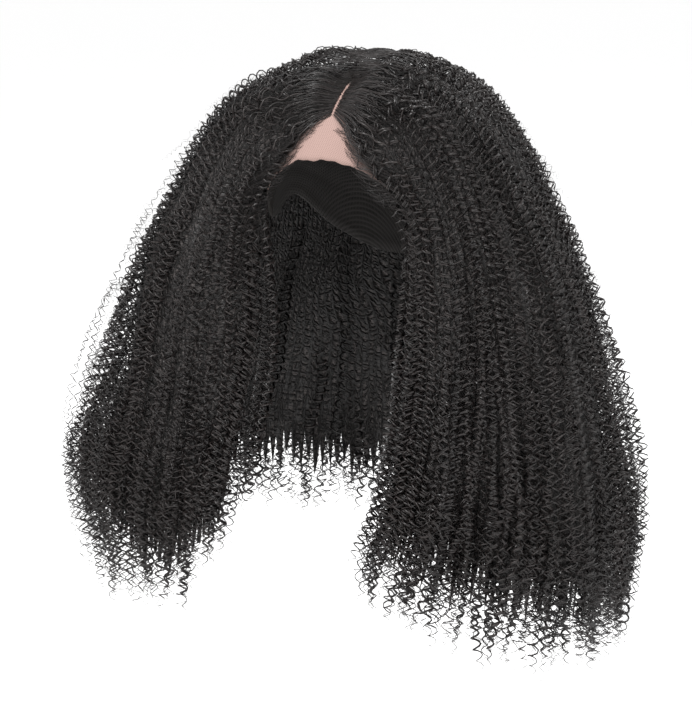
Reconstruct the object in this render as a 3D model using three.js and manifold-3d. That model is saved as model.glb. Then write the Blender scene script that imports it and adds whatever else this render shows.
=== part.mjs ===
// Lace front wig: a stretch net cap, a lace front panel with a centre parting, and kinky hair in locks.
// Millimetres. +Z is up, the face opening looks along -Y and +X is the wearer's left.
// The origin is the middle of the head hollow, level with the brow.
import * as THREE from "three";
import { mergeVertices } from "three/addons/utils/BufferGeometryUtils.js";
import Module from "manifold-3d";

const wasm = await Module();
wasm.setup();

// Head hollow: half an ellipsoid above the brow plane and a deeper one below it
const HEAD_HALF_WIDTH = 77;
const HEAD_HALF_LENGTH = 97;
const CROWN_HEIGHT = 100;
const NAPE_DEPTH = 150;

// Cap and lace
const CAP_WALL = 1.5;
const LACE_WALL = 1;
const CAP_COLUMNS = 26;
const CAP_ROWS = 5;
const POLE_SHARE = 0.985; // the top row stops just short of the pole
const SEAM_GAP = 0.4;
const SEAM_FRONT_Y = -26; // where the lace seam crosses the brow plane
const SEAM_LEAN = 24; // degrees that the seam leans back from upright
const SEAM_CUTTER = 400;

// Lower edge of the lace and cap: its height at each bearing from the face (0) to the nape (180)
const RIM = [
  { turn: 0, height: 40 },
  { turn: 18, height: 37 },
  { turn: 32, height: 27 },
  { turn: 56, height: 5 },
  { turn: 72, height: -16 },
  { turn: 96, height: -4 },
  { turn: 122, height: -34 },
  { turn: 150, height: -56 },
  { turn: 180, height: -60 },
];

// Hair guides on one side, from the edge beside the face (u 0) round to the middle of the back (u 1).
// part_y: where the guide leaves the parting. lift: how far it stands off the cap close to the parting.
// The _turn columns are its bearing from the face, the _r columns the outer radius of the hair at that level,
// and the _depth columns how thick the hair is there.
// hem_rise: how much higher the hem hangs on a side that rises.
const GUIDES = [
  { u: 0.00, part_y: -73, lift: 6, crown_turn: 21, crown_r: 95, crown_z: 31, ear_turn: 39, ear_r: 98,
    jaw_turn: 41, jaw_r: 103, jaw_depth: 14, chest_r: 135, chest_depth: 16,
    hem_turn: 22, hem_r: 152, hem_depth: 14, hem_z: -250, hem_rise: -6 },
  { u: 0.16, part_y: -62, lift: 13, crown_turn: 40, crown_r: 102, crown_z: 63, ear_turn: 51, ear_r: 131,
    jaw_turn: 51, jaw_r: 158, jaw_depth: 46, chest_r: 188, chest_depth: 38,
    hem_turn: 38, hem_r: 194, hem_depth: 26, hem_z: -276, hem_rise: -17 },
  { u: 0.34, part_y: -46, lift: 19, crown_turn: 55, crown_r: 110, crown_z: 80, ear_turn: 65, ear_r: 159,
    jaw_turn: 64, jaw_r: 206, jaw_depth: 82, chest_r: 235, chest_depth: 46,
    hem_turn: 60, hem_r: 226, hem_depth: 30, hem_z: -302, hem_rise: 36 },
  { u: 0.52, part_y: -26, lift: 23, crown_turn: 81, crown_r: 98, crown_z: 82, ear_turn: 88, ear_r: 151,
    jaw_turn: 88, jaw_r: 197, jaw_depth: 78, chest_r: 224, chest_depth: 44,
    hem_turn: 87, hem_r: 215, hem_depth: 30, hem_z: -315, hem_rise: 46 },
  { u: 0.70, part_y: -6, lift: 17, crown_turn: 114, crown_r: 87, crown_z: 82, ear_turn: 115, ear_r: 137,
    jaw_turn: 115, jaw_r: 171, jaw_depth: 60, chest_r: 194, chest_depth: 46,
    hem_turn: 116, hem_r: 189, hem_depth: 30, hem_z: -308, hem_rise: 30 },
  { u: 0.86, part_y: 16, lift: 15, crown_turn: 148, crown_r: 91, crown_z: 81, ear_turn: 147, ear_r: 134,
    jaw_turn: 147, jaw_r: 161, jaw_depth: 50, chest_r: 182, chest_depth: 50,
    hem_turn: 148, hem_r: 178, hem_depth: 32, hem_z: -302, hem_rise: 8 },
  { u: 1.00, part_y: 34, lift: 14, crown_turn: 180, crown_r: 96, crown_z: 80, ear_turn: 180, ear_r: 134,
    jaw_turn: 180, jaw_r: 158, jaw_depth: 46, chest_r: 178, chest_depth: 52,
    hem_turn: 180, hem_r: 173, hem_depth: 32, hem_z: -298, hem_rise: 0 },
];
const JAW_Z = -100;
const CHEST_Z = -205;
const CHEST_SHARE = 0.6; // of the way from the jaw's bearing to the hem's
const LIFT_SHARE = 0.3; // of the way from the parting to the crown point
const PART_HALF = 1.2; // half the width of the bare parting
const ROOT_CLEARANCE = 3.8; // the hair's inner surface stands this far off the head hollow
const ROOT_THICKNESS = 2.5;
const PANEL_GAP = 0.8;

// The wearer's right side rises at the hem and swings out more than the left
const SIDES = [
  { name: "left", mirror: 1, rises: 0, flare: 0 },
  { name: "right", mirror: -1, rises: 1, flare: 0.05 },
];

// Hair panels on each side: the stretch of u that each covers, and its number of locks
const PANELS = [
  { name: "frontal_hair", from: 0, to: 0.36, locks: 5 },
  { name: "side_weft_hair", from: 0.36, to: 0.68, locks: 5 },
  { name: "back_weft_hair", from: 0.68, to: 1, locks: 5 },
];
const PANEL_COLUMNS = 5;
const PANEL_ROWS = 12;
const ROOT_ROWS = 8; // rows of the backing that lie over the cap
const ROOT_END = 0.45; // how far from root to hem the cap reaches
const BACKING_LAYER = 0.84; // the backing stops short of the outer surface, which the locks make
const LOCK_LAYER = 0.86;
const LOCK_SECTIONS = 12;
const LOCK_SIDES = 5;
const LOCK_START = 0.08; // of the way from root to hem
const LOCK_HALF_DEPTH = 11;
const LOCK_ROOT_SHARE = 0.1; // of the full depth, where the lock starts
const LOCK_TIP_SHARE = 0.3;
const LOCK_KINK = 3; // sideways zigzag of each lock
const LOCK_GAP = 3; // least slot between two locks
const TIP_LENGTHS = [14, 26, 8, 20, 11, 30, 17]; // how far the locks hang past the hem, in turn
const LOCK_GROWS = 4; // sections over which a lock grows to its full depth
const STEP = 0.004; // of u or t, for finding directions
const MERGE = 1e-3; // points closer than this are one

// Looks
const CAP_LOOK = { color: 0x131211, roughness: 0.9, metalness: 0 };
const LACE_LOOK = { color: 0xc9a68f, roughness: 0.8, metalness: 0 };
const HAIR_LOOK = { color: 0x15110f, roughness: 0.45, metalness: 0 };

const radians = THREE.MathUtils.degToRad;
const lerp = THREE.MathUtils.lerp;

// Value of a table's column at a place, on a smooth curve through its rows
function column(rows, place, name, at) {
  const last = rows.length - 1;
  let i = 0;
  while (i < last - 1 && at > rows[i + 1][place]) i++;
  const slope = (k) => {
    const before = rows[Math.max(k - 1, 0)];
    const after = rows[Math.min(k + 1, last)];
    return (after[name] - before[name]) / (after[place] - before[place]);
  };
  const span = rows[i + 1][place] - rows[i][place];
  const s = (at - rows[i][place]) / span;
  const rise = rows[i + 1][name] - rows[i][name];
  const leave = slope(i) * span - rise;
  const arrive = rise - slope(i + 1) * span;
  return rows[i][name] + rise * s + s * (1 - s) * (leave * (1 - s) + arrive * s);
}

// Closed meshes

function meshOf(points, triangles) {
  const geometry = new THREE.BufferGeometry().setFromPoints(points);
  geometry.setIndex(triangles);
  return geometry;
}

// A skin over a row of closed rings, each end closed by a fan
function skin(rings) {
  const sides = rings[0].length;
  const points = rings.flat();
  const triangles = [];
  for (let i = 0; i + 1 < rings.length; i++) {
    for (let j = 0; j < sides; j++) {
      const a = i * sides + j;
      const b = i * sides + ((j + 1) % sides);
      triangles.push(a, b, b + sides, a, b + sides, a + sides);
    }
  }
  const ends = [
    { start: 0, turned: true },
    { start: points.length - sides, turned: false },
  ];
  for (const { start, turned } of ends) {
    const ring = points.slice(start, start + sides);
    const hub = points.length;
    points.push(ring.reduce((sum, p) => sum.add(p), new THREE.Vector3()).divideScalar(sides));
    for (let j = 0; j < sides; j++) {
      const a = start + j;
      const b = start + ((j + 1) % sides);
      triangles.push(...(turned ? [hub, b, a] : [hub, a, b]));
    }
  }
  return meshOf(points, triangles);
}

// A slab between two grids of points of the same size, closed along its four borders
function slab(outer, inner) {
  const rows = outer.length;
  const columns = outer[0].length;
  const points = [...outer.flat(), ...inner.flat()];
  const under = rows * columns;
  const triangles = [];
  const quad = (a, b, c, d) => triangles.push(a, c, b, a, d, c);
  for (let i = 0; i + 1 < rows; i++) {
    for (let j = 0; j + 1 < columns; j++) {
      const a = i * columns + j;
      quad(a, a + 1, a + columns + 1, a + columns);
      quad(under + a, under + a + columns, under + a + columns + 1, under + a + 1);
    }
  }
  for (let j = 0; j + 1 < columns; j++) {
    const end = (rows - 1) * columns + j;
    quad(j + 1, j, under + j, under + j + 1);
    quad(end, end + 1, under + end + 1, under + end);
  }
  for (let i = 0; i + 1 < rows; i++) {
    const a = i * columns;
    const b = a + columns - 1;
    quad(a, a + columns, under + a + columns, under + a);
    quad(b + columns, b, under + b, under + b + columns);
  }
  return meshOf(points, triangles);
}

// Solids for joins and cuts

function solid(geometry) {
  geometry.deleteAttribute("normal");
  geometry.deleteAttribute("uv");
  const merged = mergeVertices(geometry, MERGE);
  const triVerts = new Uint32Array(merged.index.array);
  const vertProperties = merged.attributes.position.array;
  return new wasm.Manifold(new wasm.Mesh({ numProp: 3, vertProperties, triVerts }));
}

function meshFrom(made, name, look) {
  const { vertProperties, triVerts } = made.getMesh();
  const geometry = new THREE.BufferGeometry();
  geometry.setAttribute("position", new THREE.BufferAttribute(vertProperties, 3));
  geometry.setIndex(new THREE.BufferAttribute(triVerts, 1));
  geometry.computeVertexNormals();
  const mesh = new THREE.Mesh(geometry, new THREE.MeshStandardMaterial(look));
  mesh.name = name;
  return mesh;
}

// Cap and lace

// Point of the head hollow, wall millimetres out, at a bearing and an angle above the brow plane
function onHead(turn, climb, wall) {
  const level = Math.cos(climb);
  const height = climb > 0 ? CROWN_HEIGHT + wall : NAPE_DEPTH;
  return new THREE.Vector3(
    (HEAD_HALF_WIDTH + wall) * level * Math.sin(turn),
    -(HEAD_HALF_LENGTH + wall) * level * Math.cos(turn),
    height * Math.sin(climb),
  );
}

function headRing(share, wall) {
  const ring = [];
  for (let j = 0; j < CAP_COLUMNS; j++) {
    const turn = (j / CAP_COLUMNS) * 360;
    const edge = column(RIM, "turn", "height", Math.min(turn, 360 - turn));
    const rim = Math.asin(edge / (edge > 0 ? CROWN_HEIGHT : NAPE_DEPTH));
    ring.push(onHead(radians(turn), lerp(rim, Math.PI / 2, share), wall));
  }
  return ring;
}

function dome(wall) {
  const inside = [];
  const outside = [];
  for (let i = 0; i <= CAP_ROWS; i++) {
    const share = (i / CAP_ROWS) * POLE_SHARE;
    inside.unshift(headRing(share, 0));
    outside.push(headRing(share, wall));
  }
  return solid(skin([...inside, ...outside]));
}

// Everything behind the seam between lace and cap
function behindSeam(gap) {
  const block = new THREE.BoxGeometry(SEAM_CUTTER, SEAM_CUTTER, SEAM_CUTTER);
  block.translate(0, SEAM_CUTTER / 2 + gap, 0);
  block.rotateX(radians(-SEAM_LEAN));
  block.translate(0, SEAM_FRONT_Y, 0);
  return solid(block);
}

function makeCap() {
  const made = dome(CAP_WALL).intersect(behindSeam(SEAM_GAP));
  return meshFrom(made, "cap", CAP_LOOK);
}

function makeLace() {
  const made = dome(LACE_WALL).subtract(behindSeam(0));
  return meshFrom(made, "lace_front", LACE_LOOK);
}

// Hair

function bearing(turn, radius, z) {
  return new THREE.Vector3(radius * Math.sin(radians(turn)), -radius * Math.cos(radians(turn)), z);
}

function headHeight(x, y) {
  return CROWN_HEIGHT * Math.sqrt(1 - (x / HEAD_HALF_WIDTH) ** 2 - (y / HEAD_HALF_LENGTH) ** 2);
}

// One guide: its table row, and the curve that it follows on the hair's outer surface
function makeGuide(u, side) {
  const row = {};
  for (const name of Object.keys(GUIDES[0])) row[name] = column(GUIDES, "u", name, u);
  row.hem_z += side.rises * row.hem_rise;
  const swing = Math.sin(u * Math.PI) ** 2; // the sides match beside the face and in the middle of the back
  for (const level of ["ear_r", "jaw_r", "chest_r", "hem_r"]) row[level] *= 1 + side.flare * swing;
  const root = new THREE.Vector3(PART_HALF, row.part_y, headHeight(0, row.part_y));
  root.z += ROOT_CLEARANCE + ROOT_THICKNESS;
  const crown = bearing(row.crown_turn, row.crown_r, row.crown_z);
  const lift = root.clone().lerp(crown, LIFT_SHARE);
  lift.z = headHeight(lift.x, lift.y) + row.lift;
  const ear = bearing(row.ear_turn, row.ear_r, 0);
  const jaw = bearing(row.jaw_turn, row.jaw_r, JAW_Z);
  const chest = bearing(lerp(row.jaw_turn, row.hem_turn, CHEST_SHARE), row.chest_r, CHEST_Z);
  const hem = bearing(row.hem_turn, row.hem_r, row.hem_z);
  const curve = new THREE.CatmullRomCurve3([root, lift, crown, ear, jaw, chest, hem]);
  return { row, curve };
}

// The point of the hair's inner surface behind a point of its outer surface
function innerPoint(row, outer) {
  const wide = HEAD_HALF_WIDTH + ROOT_CLEARANCE;
  const long = HEAD_HALF_LENGTH + ROOT_CLEARANCE;
  const tall = CROWN_HEIGHT + ROOT_CLEARANCE;
  if (outer.z >= 0) {
    return outer.clone().divideScalar(Math.hypot(outer.x / wide, outer.y / long, outer.z / tall));
  }
  const radius = Math.hypot(outer.x, outer.y);
  const levels = [
    { z: row.hem_z, r: row.hem_r - row.hem_depth },
    { z: CHEST_Z, r: row.chest_r - row.chest_depth },
    { z: JAW_Z, r: row.jaw_r - row.jaw_depth },
    { z: 0, r: radius / Math.hypot(outer.x / wide, outer.y / long) },
  ];
  const share = column(levels, "z", "r", outer.z) / radius;
  return new THREE.Vector3(outer.x * share, outer.y * share, outer.z);
}

// A side's hair as a function: u round the head, t from root to hem, layer from inside (0) to outside (1)
function makeHair(side) {
  const guides = new Map();
  return (u, t, layer) => {
    if (!guides.has(u)) guides.set(u, makeGuide(u, side));
    const { row, curve } = guides.get(u);
    const outer = curve.getPointAt(t);
    return innerPoint(row, outer).lerp(outer, layer);
  };
}

// How many millimetres a unit of u covers on the outer surface
function spread(hair, u, t) {
  const low = Math.max(u - STEP, 0);
  const high = Math.min(u + STEP, 1);
  return hair(low, t, 1).distanceTo(hair(high, t, 1)) / (high - low);
}

// Rows of the backing lie closer together over the cap, whose curve they follow
function rowPlace(i) {
  const past = i - ROOT_ROWS;
  return past < 0 ? (i / ROOT_ROWS) * ROOT_END : lerp(ROOT_END, 1, past / (PANEL_ROWS - ROOT_ROWS));
}

function makeBacking(hair, panel) {
  const outer = [];
  const inner = [];
  for (let i = 0; i <= PANEL_ROWS; i++) {
    const t = rowPlace(i);
    const from = panel.from + PANEL_GAP / 2 / spread(hair, panel.from, t);
    const to = panel.to - PANEL_GAP / 2 / spread(hair, panel.to, t);
    const places = [];
    for (let j = 0; j <= PANEL_COLUMNS; j++) places.push(lerp(from, to, j / PANEL_COLUMNS));
    outer.push(places.map((u) => hair(u, t, BACKING_LAYER)));
    inner.push(places.map((u) => hair(u, t, 0)));
  }
  return solid(slab(outer, inner));
}

// One kinked lock, standing half out of the backing and hanging past the hem
function makeLock(hair, u, width, number) {
  const rings = [];
  const hang = hair(u, 1, LOCK_LAYER).sub(hair(u, 1 - STEP, LOCK_LAYER)).normalize();
  const sections = LOCK_SECTIONS + 1;
  for (let i = 0; i <= sections; i++) {
    const t = Math.min(lerp(LOCK_START, 1, i / LOCK_SECTIONS), 1);
    const across = hair(u + STEP, t, LOCK_LAYER).sub(hair(u - STEP, t, LOCK_LAYER)).normalize();
    const outward = hair(u, t, 1).sub(hair(u, t, 0)).normalize();
    const grown = Math.min(i / LOCK_GROWS, 1);
    const taper = i === sections ? LOCK_TIP_SHARE : 1;
    const kink = (i % 2 ? 1 : -1) * (number % 2 ? 1 : -1) * LOCK_KINK * grown * taper;
    const room = (spread(hair, u, t) * width) / 2 - (LOCK_KINK + LOCK_GAP / 2) * grown - PANEL_GAP / 2;
    const halfWidth = room * taper;
    const halfDepth = LOCK_HALF_DEPTH * lerp(LOCK_ROOT_SHARE, 1, grown) * taper;
    const middle = hair(u, t, LOCK_LAYER).addScaledVector(across, kink);
    if (i === sections) middle.addScaledVector(hang, TIP_LENGTHS[number % TIP_LENGTHS.length]);
    const ring = [];
    for (let j = 0; j < LOCK_SIDES; j++) {
      const angle = (j / LOCK_SIDES + 0.25) * 2 * Math.PI; // with a ridge along the outside
      const point = middle.clone().addScaledVector(across, halfWidth * Math.cos(angle));
      ring.push(point.addScaledVector(outward, halfDepth * Math.sin(angle)));
    }
    rings.push(ring);
  }
  return solid(skin(rings));
}

function makePanel(hair, panel, side) {
  let made = makeBacking(hair, panel);
  const width = (panel.to - panel.from) / panel.locks;
  for (let k = 0; k < panel.locks; k++) {
    made = made.add(makeLock(hair, panel.from + (k + 0.5) * width, width, k));
  }
  return meshFrom(made, `${panel.name}_${side.name}`, HAIR_LOOK);
}

// Assembly
const wig = new THREE.Group();
wig.add(makeCap(), makeLace());
for (const side of SIDES) {
  const half = new THREE.Group();
  half.scale.x = side.mirror;
  const hair = makeHair(side);
  for (const panel of PANELS) half.add(makePanel(hair, panel, side));
  wig.add(half);
}

export default wig;
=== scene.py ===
"""Dresses the lace front wig: net cap, lace front with its parting, and kinky hair in curled strands.

Lengths are millimetres unless a comment says metres, in the part's own frame: +Z up, face opening along -Y,
+X the wearer's left, origin in the middle of the head hollow, level with the brow.

A place in the hair of one side has three measures. u runs from the edge beside the face (0) round to the
middle of the back (1), t from the root (0) to the hem (1), and the layer from the inside of the hair (0) to
its outline (1). What differs from strand to strand is a pair, the least and the most. A name that ends in
OVER is a pair too: where a change starts and where it ends.
"""
import math

import bmesh
import bpy
import numpy as np
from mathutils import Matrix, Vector


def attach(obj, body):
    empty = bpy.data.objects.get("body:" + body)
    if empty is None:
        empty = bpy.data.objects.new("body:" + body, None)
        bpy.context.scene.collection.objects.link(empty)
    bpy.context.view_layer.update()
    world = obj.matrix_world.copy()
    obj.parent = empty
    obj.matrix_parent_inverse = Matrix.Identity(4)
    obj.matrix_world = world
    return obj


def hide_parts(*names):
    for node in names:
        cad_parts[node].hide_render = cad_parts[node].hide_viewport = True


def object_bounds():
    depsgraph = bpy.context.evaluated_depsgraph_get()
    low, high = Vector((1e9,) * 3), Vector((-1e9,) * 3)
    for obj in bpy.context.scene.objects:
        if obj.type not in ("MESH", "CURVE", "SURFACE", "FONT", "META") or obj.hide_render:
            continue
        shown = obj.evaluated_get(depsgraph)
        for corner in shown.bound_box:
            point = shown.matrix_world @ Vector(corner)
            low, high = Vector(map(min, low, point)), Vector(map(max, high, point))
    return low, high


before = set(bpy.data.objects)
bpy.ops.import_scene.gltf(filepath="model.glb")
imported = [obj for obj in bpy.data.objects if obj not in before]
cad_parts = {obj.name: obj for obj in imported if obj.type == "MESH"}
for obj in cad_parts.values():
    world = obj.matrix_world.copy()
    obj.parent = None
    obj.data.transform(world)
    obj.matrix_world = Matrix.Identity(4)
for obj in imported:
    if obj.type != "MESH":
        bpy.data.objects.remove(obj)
cad_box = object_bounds()

SEED = 7
MM = 0.001
TURN = 2 * math.pi
TINY = 1e-9

# Camera, from the photograph
IMAGE_SIZE = (692, 716)
ORIGIN_PIXEL = (375, 198)
PIXEL = 0.77 * MM  # at the origin's distance
CAMERA_AZIMUTH = 27
CAMERA_ELEVATION = 9
CAMERA_DISTANCE = 1.6  # metres
SENSOR = 36

# Floor and lights, in metres
FLOOR_DROP = 0.2  # below the ends of the hair, which hangs as on a head
FLOOR_REACH = 40
FLOOR_TINT = (0.99, 0.99, 0.99)
FLOOR_ROUGHNESS = 0.9
LIGHT_AIM = (0, 0, -0.1)
LIGHTS = (
    {"name": "key", "place": (-0.7, -1.2, 1.7), "size": 0.7, "power": 38},
    {"name": "fill", "place": (1.6, -0.9, 0.6), "size": 1.2, "power": 10},
    {"name": "rim", "place": (0.2, 1.5, 1.5), "size": 1.0, "power": 16},
)

# Head hollow
HEAD_HALF_WIDTH = 77
HEAD_HALF_LENGTH = 97
CROWN_HEIGHT = 100
NAPE_DEPTH = 150

# Lower edge of the lace and cap: its height at each bearing from the face to the nape
RIM = {
    "turn": (0, 18, 32, 56, 72, 96, 122, 150, 180),
    "height": (40, 37, 27, 5, -16, -4, -34, -56, -60),
}

# Cap and lace: the wall, how far the cut edge wanders, how far a row of stitching stands into the cap, and
# the flat size in metres, side to side and front to back
LACE_WALL = 0.9
DOME_PIECES = (
    {"name": "lace_net", "node": "lace_front", "slot": "lace", "front": True, "wall": LACE_WALL,
     "ripple": 0.6, "weft_rise": 0, "flat": (0.28, 0.13)},
    {"name": "cap_net", "node": "cap", "slot": "cap_net", "front": False, "wall": 1.5,
     "ripple": 0, "weft_rise": 0.9, "flat": (0.30, 0.20)},
)
SEAM_FRONT_Y = -26
SEAM_LEAN = 24
DOME_COLUMNS = 180
DOME_ROWS = 34
WEFT_ROWS = 3  # rows of the dome between two rows of stitching
RAW_WAVES = ((17, 1, 0), (41, 0.6, 1))  # waves round the cut edge, their height and their start
PART_BACK_Y = -44  # the bare parting ends here
PART_BARE = 2  # half the width of the lace without knots there
KNOT_FADE = 9

# Hair guides on one side, at some places in u; the curls fill the space that they span
GUIDES = {
    "u": (0.00, 0.16, 0.34, 0.52, 0.70, 0.86, 1.00),
    "part_y": (-73, -62, -46, -26, -6, 16, 34),
    "lift": (6, 13, 19, 23, 17, 15, 14),
    "crown_turn": (21, 40, 55, 81, 114, 148, 180),
    "crown_r": (95, 102, 110, 98, 87, 91, 96),
    "crown_z": (31, 63, 80, 82, 82, 81, 80),
    "ear_turn": (39, 51, 65, 88, 115, 147, 180),
    "ear_r": (98, 131, 159, 151, 137, 134, 134),
    "jaw_turn": (41, 51, 64, 88, 115, 147, 180),
    "jaw_r": (103, 158, 206, 197, 171, 161, 158),
    "jaw_depth": (14, 46, 82, 78, 60, 50, 46),
    "chest_r": (135, 188, 235, 224, 194, 182, 178),
    "chest_depth": (16, 38, 46, 44, 46, 50, 52),
    "hem_turn": (22, 38, 60, 87, 116, 148, 180),
    "hem_r": (152, 194, 226, 215, 189, 178, 173),
    "hem_depth": (14, 26, 30, 30, 30, 32, 32),
    "hem_z": (-250, -276, -302, -315, -308, -302, -298),
    "hem_rise": (20, -21, 36, 46, 30, 8, 0),  # on the wearer's right
}
JAW_Z = -100
CHEST_Z = -205
CHEST_SHARE = 0.6  # of the way from the bearing at the jaw to that at the hem
LIFT_SHARE = 0.3  # of the way from the parting to the crown point
PART_HALF = 1.2
ROOT_CLEARANCE = 3.8
ROOT_THICKNESS = 2.5
SIDES = (
    {"name": "left", "mirror": 1, "rises": 0, "flare": 0},
    {"name": "right", "mirror": -1, "rises": 1, "flare": 0.05},
)
PANELS = (
    {"name": "frontal_hair", "from": 0, "to": 0.36},
    {"name": "side_weft_hair", "from": 0.36, "to": 0.68},
    {"name": "back_weft_hair", "from": 0.68, "to": 1},
)
GRID_U = 49
GRID_T = 81
CURVE_STEPS = 24

# Families of ringlets on each side: how many, where they hang in u and layer and start in t, how far past
# the hem they end, how far they come in on the way down (fall), how far they run straight and how far they
# take to reach their full curl (ramp), the curl's radius, pitch and unevenness, the strand's thickness, its
# segments in a turn and its sides, and how many finer hairs curl beside it on average
FLAT = 2  # sides of a hair that is a flat strip
TUBE = 3  # sides of a strand that is a tube
RINGLET = {
    "fall": 0, "straight": 0, "radius": (2.2, 3.5), "pitch": (7.0, 9.2), "thickness": (0.8, 1.7),
    "segments": 6.4, "sides": TUBE, "uneven": 0.28, "hairs": 0.65,
}
FAMILIES = {
    "crown": {
        **RINGLET, "count": 50, "u": (0.0, 0.98), "layer": (0.83, 1.0), "start": (0, 0), "past": (-60, 20),
        "fall": 0.23, "straight": 10, "ramp": 70,
    },
    "top": {
        **RINGLET, "count": 14, "u": (0.3, 1.0), "layer": (0.9, 1.03), "start": (0, 0), "past": (-410, -330),
        "straight": 4, "ramp": 60, "radius": (1.6, 2.8), "pitch": (7.0, 10.0), "thickness": (0.6, 1.4),
        "segments": 7, "uneven": 0.3, "hairs": 0,
    },
    "fill": {
        **RINGLET, "count": 49, "u": (0.01, 0.99), "layer": (0.81, 0.99), "start": (0.12, 0.5),
        "past": (-54, 16), "fall": 0.25, "ramp": 40,
    },
    "lock": {
        **RINGLET, "count": 98, "u": (0.01, 0.99), "layer": (0.1, 0.95), "start": (0.66, 0.82),
        "past": (-50, 24), "ramp": 30, "radius": (2.2, 3.8), "pitch": (7.6, 10.0), "thickness": (1.0, 2.2),
        "segments": 7, "uneven": 0.15, "hairs": 1.0,
    },
    "hem": {
        **RINGLET, "count": 410, "u": (0.0, 1.0), "layer": (0.05, 1.02), "start": (0.74, 0.92),
        "past": (-48, 18), "ramp": 26, "radius": (2.0, 4.6), "pitch": (7.0, 12.0), "thickness": (0.5, 1.0),
        "sides": FLAT, "uneven": 0.3, "hairs": 0,
    },
    "inside": {
        **RINGLET, "count": 8, "u": (0.05, 0.99), "layer": (0.0, 0.08), "start": (0.44, 0.5),
        "past": (-50, 0), "ramp": 30, "radius": (3.0, 4.4), "pitch": (9.0, 12.0), "thickness": (1.4, 2.4),
        "uneven": 0.2, "hairs": 0,
    },
    "edge": {
        **RINGLET, "count": 15, "u": (-0.035, 0.05), "layer": (0.0, 1.0), "start": (0.14, 0.4),
        "past": (-30, 20), "ramp": 40, "radius": (2.2, 3.6),
    },
    "loose": {
        **RINGLET, "count": 74, "u": (0.1, 0.99), "layer": (0.86, 1.08), "start": (0.12, 0.6),
        "past": (-80, 10), "ramp": 50, "radius": (1.6, 3.4), "pitch": (7.4, 10.8), "thickness": (0.45, 1.0),
        "sides": FLAT, "uneven": 0.36, "hairs": 0.5,
    },
}

# The line that a ringlet follows
AXIS_POINTS = 60
PLACE_IN_STEP = (0.2, 0.8)  # where a strand may stand in its own step along the parting
FALL_OVER = (0.42, 0.82)  # the stretch of t over which the curls come in from the outline
SWAY_RATE = (0.7, 1.7)  # waves over the ringlet's length
SWAY_U = 0.008
SWAY_LAYER = 0.03
SWAY_OVER = (0, 1 / 3)  # the share of its length over which the sway grows
EMERGE_LAYER = 0.5  # a ringlet that starts lower down outside this layer comes up from under the others
EMERGE_DEPTH = 0.3
EMERGE_OVER = (0, 0.25)

# Roots
ROOT_RISE = 18  # over this length the hair rises from the lace
LACE_PROUD = 0.3  # how far hair that lies on the lace stands proud of it
PART_CLOSED_OVER = (0.36, 0.46)  # the stretch of u over which the bare parting closes
PART_CROSS = 5  # how far the roots cross the middle where it is closed
PART_HUMP = 7  # and how far they arch up
ROOT_CREEP = (-0.5, 0.8)  # how far they come towards the middle in front of that

# The curl of a strand
LEAST_POINTS = 8
LEAST_SEGMENTS = 3
WAVE_PITCH = 26  # of the loose wave near the root
PITCH_DRIFT = 0.7  # the share of the unevenness that goes into the pitch
RADIUS_BEAT = 0.7  # the length of the radius's beat, as a share of the pitch's
RADIUS_LEAD = 2  # the radius grows this many times as fast as the pitch tightens
TIP_LENGTH = 22
TIP_RADIUS = 0.7
TIP_THICKNESS = 0.25
ROOT_THINNESS = 0.5
ROOT_GROWTH = 40  # over this length the strand reaches its full thickness
STRAIGHT_SPREAD = (0.6, 1.6)
RAMP_SPREAD = (0.8, 1.3)
BEAT = (50, 110)  # from one wide stretch of a curl to the next
HAIR_THICKNESS = (0.4, 0.8)  # of the finer hairs beside a ringlet
HAIR_LAG = (-1.2, 1.2)  # radians that they run ahead or behind
HAIR_RADIUS = (0.8, 1.35)  # times the ringlet's own

# Straight combed hair close to the parting
COMBED_COUNT = 240
COMBED_REACH = (0.05, 0.14)
COMBED_POINTS = 11
COMBED_THICKNESS = (0.4, 0.85)
COMBED_LAYER = (0.9, 1.04)
COMBED_SINK = 0.2  # how far its second half sinks into the curls, as a layer
COMBED_SINK_OVER = (0.5, 1)
COMBED_WAVE = (8, 16)  # radians over its length
COMBED_WAVE_U = 0.006
COMBED_WAVE_OVER = (0.2, 0.7)
COMBED_SPREAD_U = 0.012
TAPER_THICKNESS = 0.4  # at the ends of straight hairs
TAPER_OVER = (0.1, 0.95)

# Short hairs along the front hairline
HAIRLINE_COUNT = 110
HAIRLINE_T = (0.01, 0.36)
HAIRLINE_REACH = (0.08, 0.18)
HAIRLINE_SWEEP_U = (0.036, 0.09)
HAIRLINE_BEND = 1.3
HAIRLINE_LAYER = (0.8, 1.1)
HAIRLINE_DROP = (0.5, 9)
HAIRLINE_DROP_OVER = (0, 1 / 2.2)
HAIRLINE_DOWN = (0, -0.5, -0.85)  # the way down the forehead
HAIRLINE_HELD_OVER = (0, 0.4)  # the share of its length over which it leaves the lace
HAIRLINE_THICKNESS = (0.25, 0.55)

# Short thin hairs over the curls, some of which stand off them
FRIZZ_COUNT = 1050
FRIZZ_LENGTH = (14, 32)
FRIZZ_THICKNESS = (0.252, 0.468)
FRIZZ_AT_HEM = 0.35  # the share of them near the ends
FRIZZ_HEM_T = (0.84, 1)
FRIZZ_UPPER_T = (0.1, 0.9)
FRIZZ_DRIFT_U = (-0.03, 0.03)
FRIZZ_LAYER = (0.92, 1.03)
FRIZZ_POINTS = 8
FRIZZ_SEGMENTS = 6
FRIZZ_STAND = 14
FRIZZ_STAND_OVER = (0, 0.4)
FRIZZ_RADIUS = (1.0, 3.0)
FRIZZ_PITCH = (5.5, 10)
FRIZZ_RAMP = 6
FRIZZ_BEAT = 40
FRIZZ_UNEVEN = 0.3

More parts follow.
